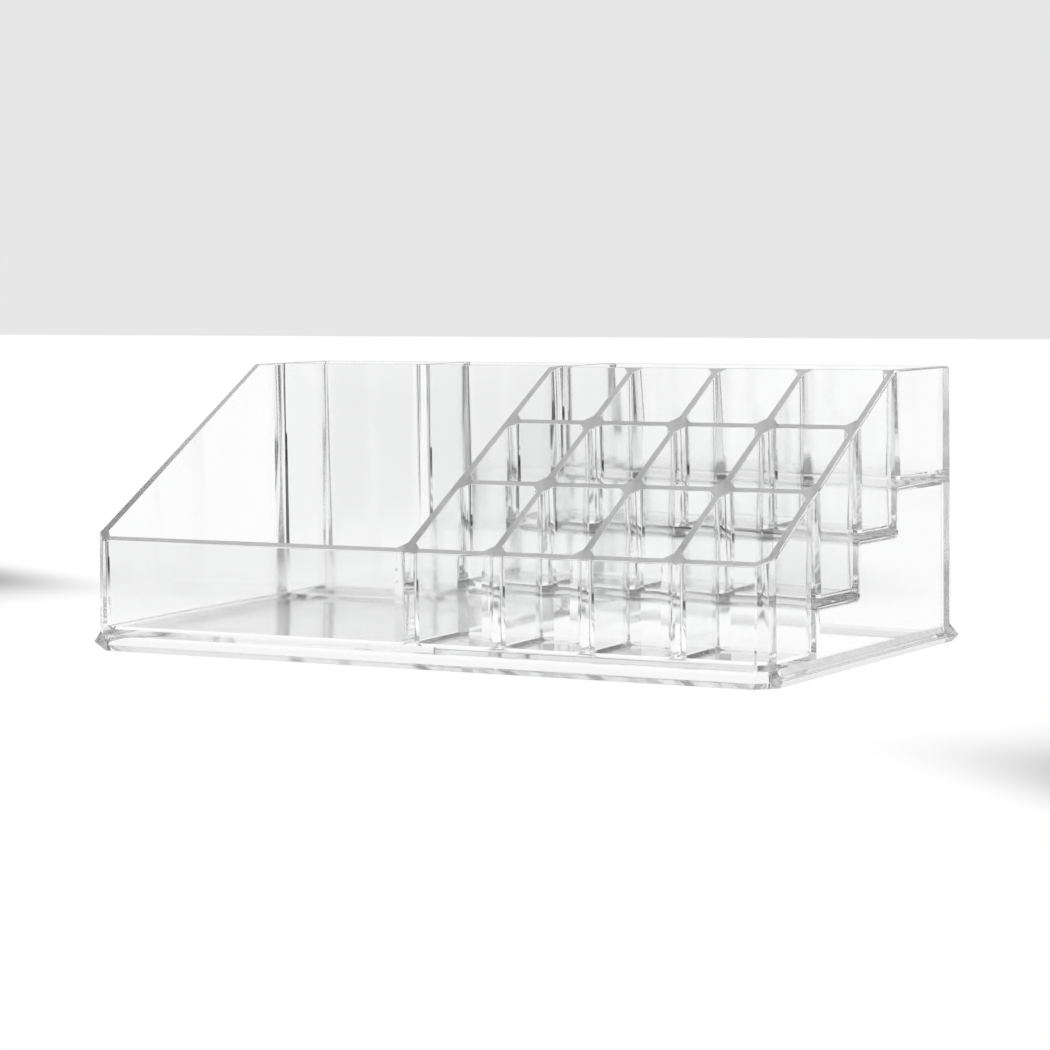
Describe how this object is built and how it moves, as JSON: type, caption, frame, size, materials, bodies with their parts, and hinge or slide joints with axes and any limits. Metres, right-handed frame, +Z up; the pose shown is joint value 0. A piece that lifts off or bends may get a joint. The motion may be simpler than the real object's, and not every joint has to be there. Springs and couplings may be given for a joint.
{
  "type": "storage organizer",
  "caption": "Clear stepped desktop organizer with an open tray, rear cells and rising rows of small cells under slanted rims.",
  "frame": {"origin": "middle of the footprint, on the surface that the foot rim stands on", "axes": "+X to the right along the long side, +Y to the back, away from the low front wall, +Z up"},
  "size_m": [0.218, 0.1308, 0.08],
  "materials": {
    "clear_plastic": "clear, polished, injection moulded"
  },
  "bodies": {
    "root": {"base_rim_front": "clear_plastic", "base_rim_back": "clear_plastic", "base_rim_left": "clear_plastic", "base_rim_right": "clear_plastic", "tray_floor": "clear_plastic", "rear_left_floor": "clear_plastic", "rear_middle_floor": "clear_plastic", "rear_shelf_floor": "clear_plastic", "row_1_floor": "clear_plastic", "row_2_floor": "clear_plastic", "row_3_floor": "clear_plastic", "front_wall": "clear_plastic", "back_wall": "clear_plastic", "tray_rear_wall": "clear_plastic", "row_wall_1_2": "clear_plastic", "row_wall_2_3": "clear_plastic", "row_wall_3_rear": "clear_plastic", "left_side_wall": "clear_plastic", "right_side_wall": "clear_plastic", "main_partition": "clear_plastic", "rear_divider": "clear_plastic", "row_1_divider_a": "clear_plastic", "row_1_divider_b": "clear_plastic", "row_1_divider_c": "clear_plastic", "row_2_divider_a": "clear_plastic", "row_2_divider_b": "clear_plastic", "row_2_divider_c": "clear_plastic", "row_3_divider_a": "clear_plastic", "row_3_divider_b": "clear_plastic", "row_3_divider_c": "clear_plastic"}
  },
  "joints": []
}
